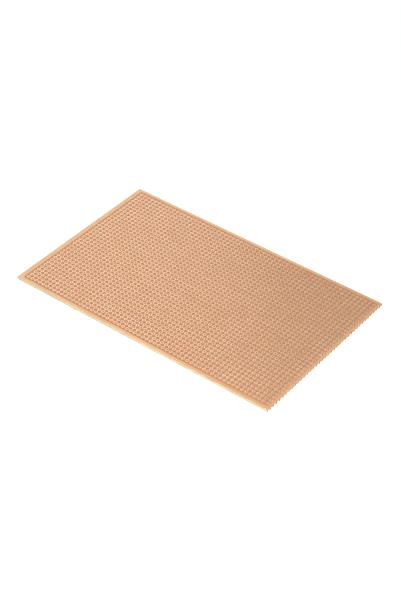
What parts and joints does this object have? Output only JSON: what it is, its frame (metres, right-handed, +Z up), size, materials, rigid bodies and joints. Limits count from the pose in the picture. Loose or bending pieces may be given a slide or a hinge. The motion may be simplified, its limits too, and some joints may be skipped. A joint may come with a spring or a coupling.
{
  "type": "prototype board",
  "caption": "Flat laminate board carrying a grid of separate copper pads for leaded parts, with half holes along one snapped end.",
  "frame": {"origin": "under the middle of the sheet, on its underside", "axes": "+X along the board towards the end with the half holes, +Y across it, +Z up through the copper side"},
  "size_m": [0.1596, 0.099, 0.0015],
  "materials": {
    "laminate": "satin",
    "copper": "satin"
  },
  "bodies": {
    "root": {"laminate_board": "laminate", "pad_row_01": "copper", "pad_row_02": "copper", "pad_row_03": "copper", "pad_row_04": "copper", "pad_row_05": "copper", "pad_row_06": "copper", "pad_row_07": "copper", "pad_row_08": "copper", "pad_row_09": "copper", "pad_row_10": "copper", "pad_row_11": "copper", "pad_row_12": "copper", "pad_row_13": "copper", "pad_row_14": "copper", "pad_row_15": "copper", "pad_row_16": "copper", "pad_row_17": "copper", "pad_row_18": "copper", "pad_row_19": "copper", "pad_row_20": "copper", "pad_row_21": "copper", "pad_row_22": "copper", "pad_row_23": "copper", "pad_row_24": "copper", "pad_row_25": "copper", "pad_row_26": "copper", "pad_row_27": "copper", "pad_row_28": "copper", "pad_row_29": "copper", "pad_row_30": "copper", "pad_row_31": "copper", "pad_row_32": "copper", "pad_row_33": "copper", "pad_row_34": "copper", "pad_row_35": "copper", "pad_row_36": "copper", "pad_row_37": "copper"}
  },
  "joints": []
}
